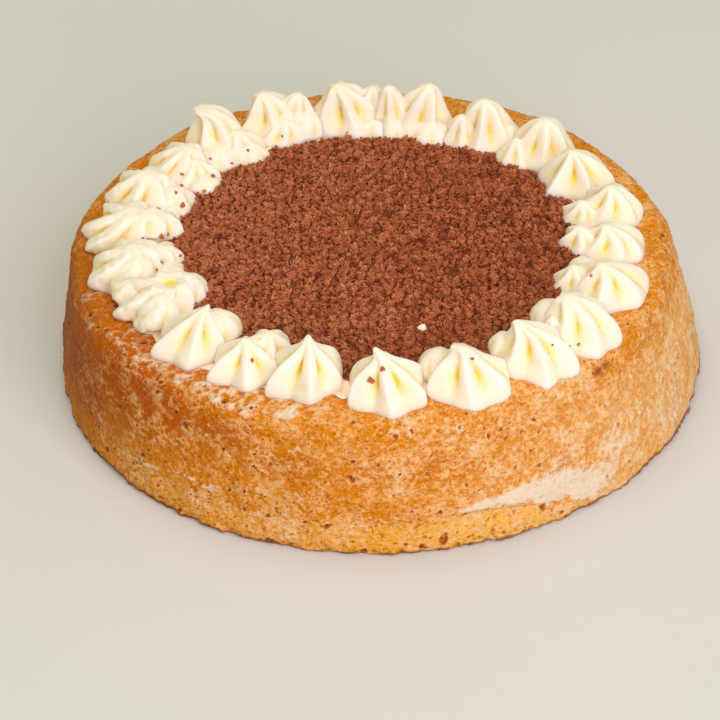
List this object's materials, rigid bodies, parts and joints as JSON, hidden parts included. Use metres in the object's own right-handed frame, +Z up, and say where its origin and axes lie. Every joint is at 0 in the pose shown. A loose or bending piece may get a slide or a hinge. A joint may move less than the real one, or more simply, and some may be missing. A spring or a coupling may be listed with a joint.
{
  "type": "tres leches cake",
  "caption": "Round milk-soaked sponge cake with a thin coat of cream, a ring of piped cream stars round the top edge and a bed of grated chocolate inside the ring.",
  "frame": {"origin": "on the flat underside, at the middle of the sponge's foot", "axes": "+Z up through the cake, -Y towards the side that the picture shows in front, +X to the right of that view"},
  "size_m": [0.226, 0.226, 0.0675],
  "materials": {
    "sponge": "golden baked crust with open pores, damp with milk",
    "cream": "smooth pale yellow whipped cream with a soft sheen",
    "chocolate": "fine dull milk chocolate flakes"
  },
  "bodies": {
    "root": {"sponge": "sponge", "cream_layer": "cream", "grated_chocolate": "chocolate", "cream_star_01": "cream", "cream_star_02": "cream", "cream_star_03": "cream", "cream_star_04": "cream", "cream_star_05": "cream", "cream_star_06": "cream", "cream_star_07": "cream", "cream_star_08": "cream", "cream_star_09": "cream", "cream_star_10": "cream", "cream_star_11": "cream", "cream_star_12": "cream", "cream_star_13": "cream", "cream_star_14": "cream", "cream_star_15": "cream", "cream_star_16": "cream", "cream_star_17": "cream", "cream_star_18": "cream", "cream_star_19": "cream", "cream_star_20": "cream", "cream_star_21": "cream", "cream_star_22": "cream"}
  },
  "joints": []
}
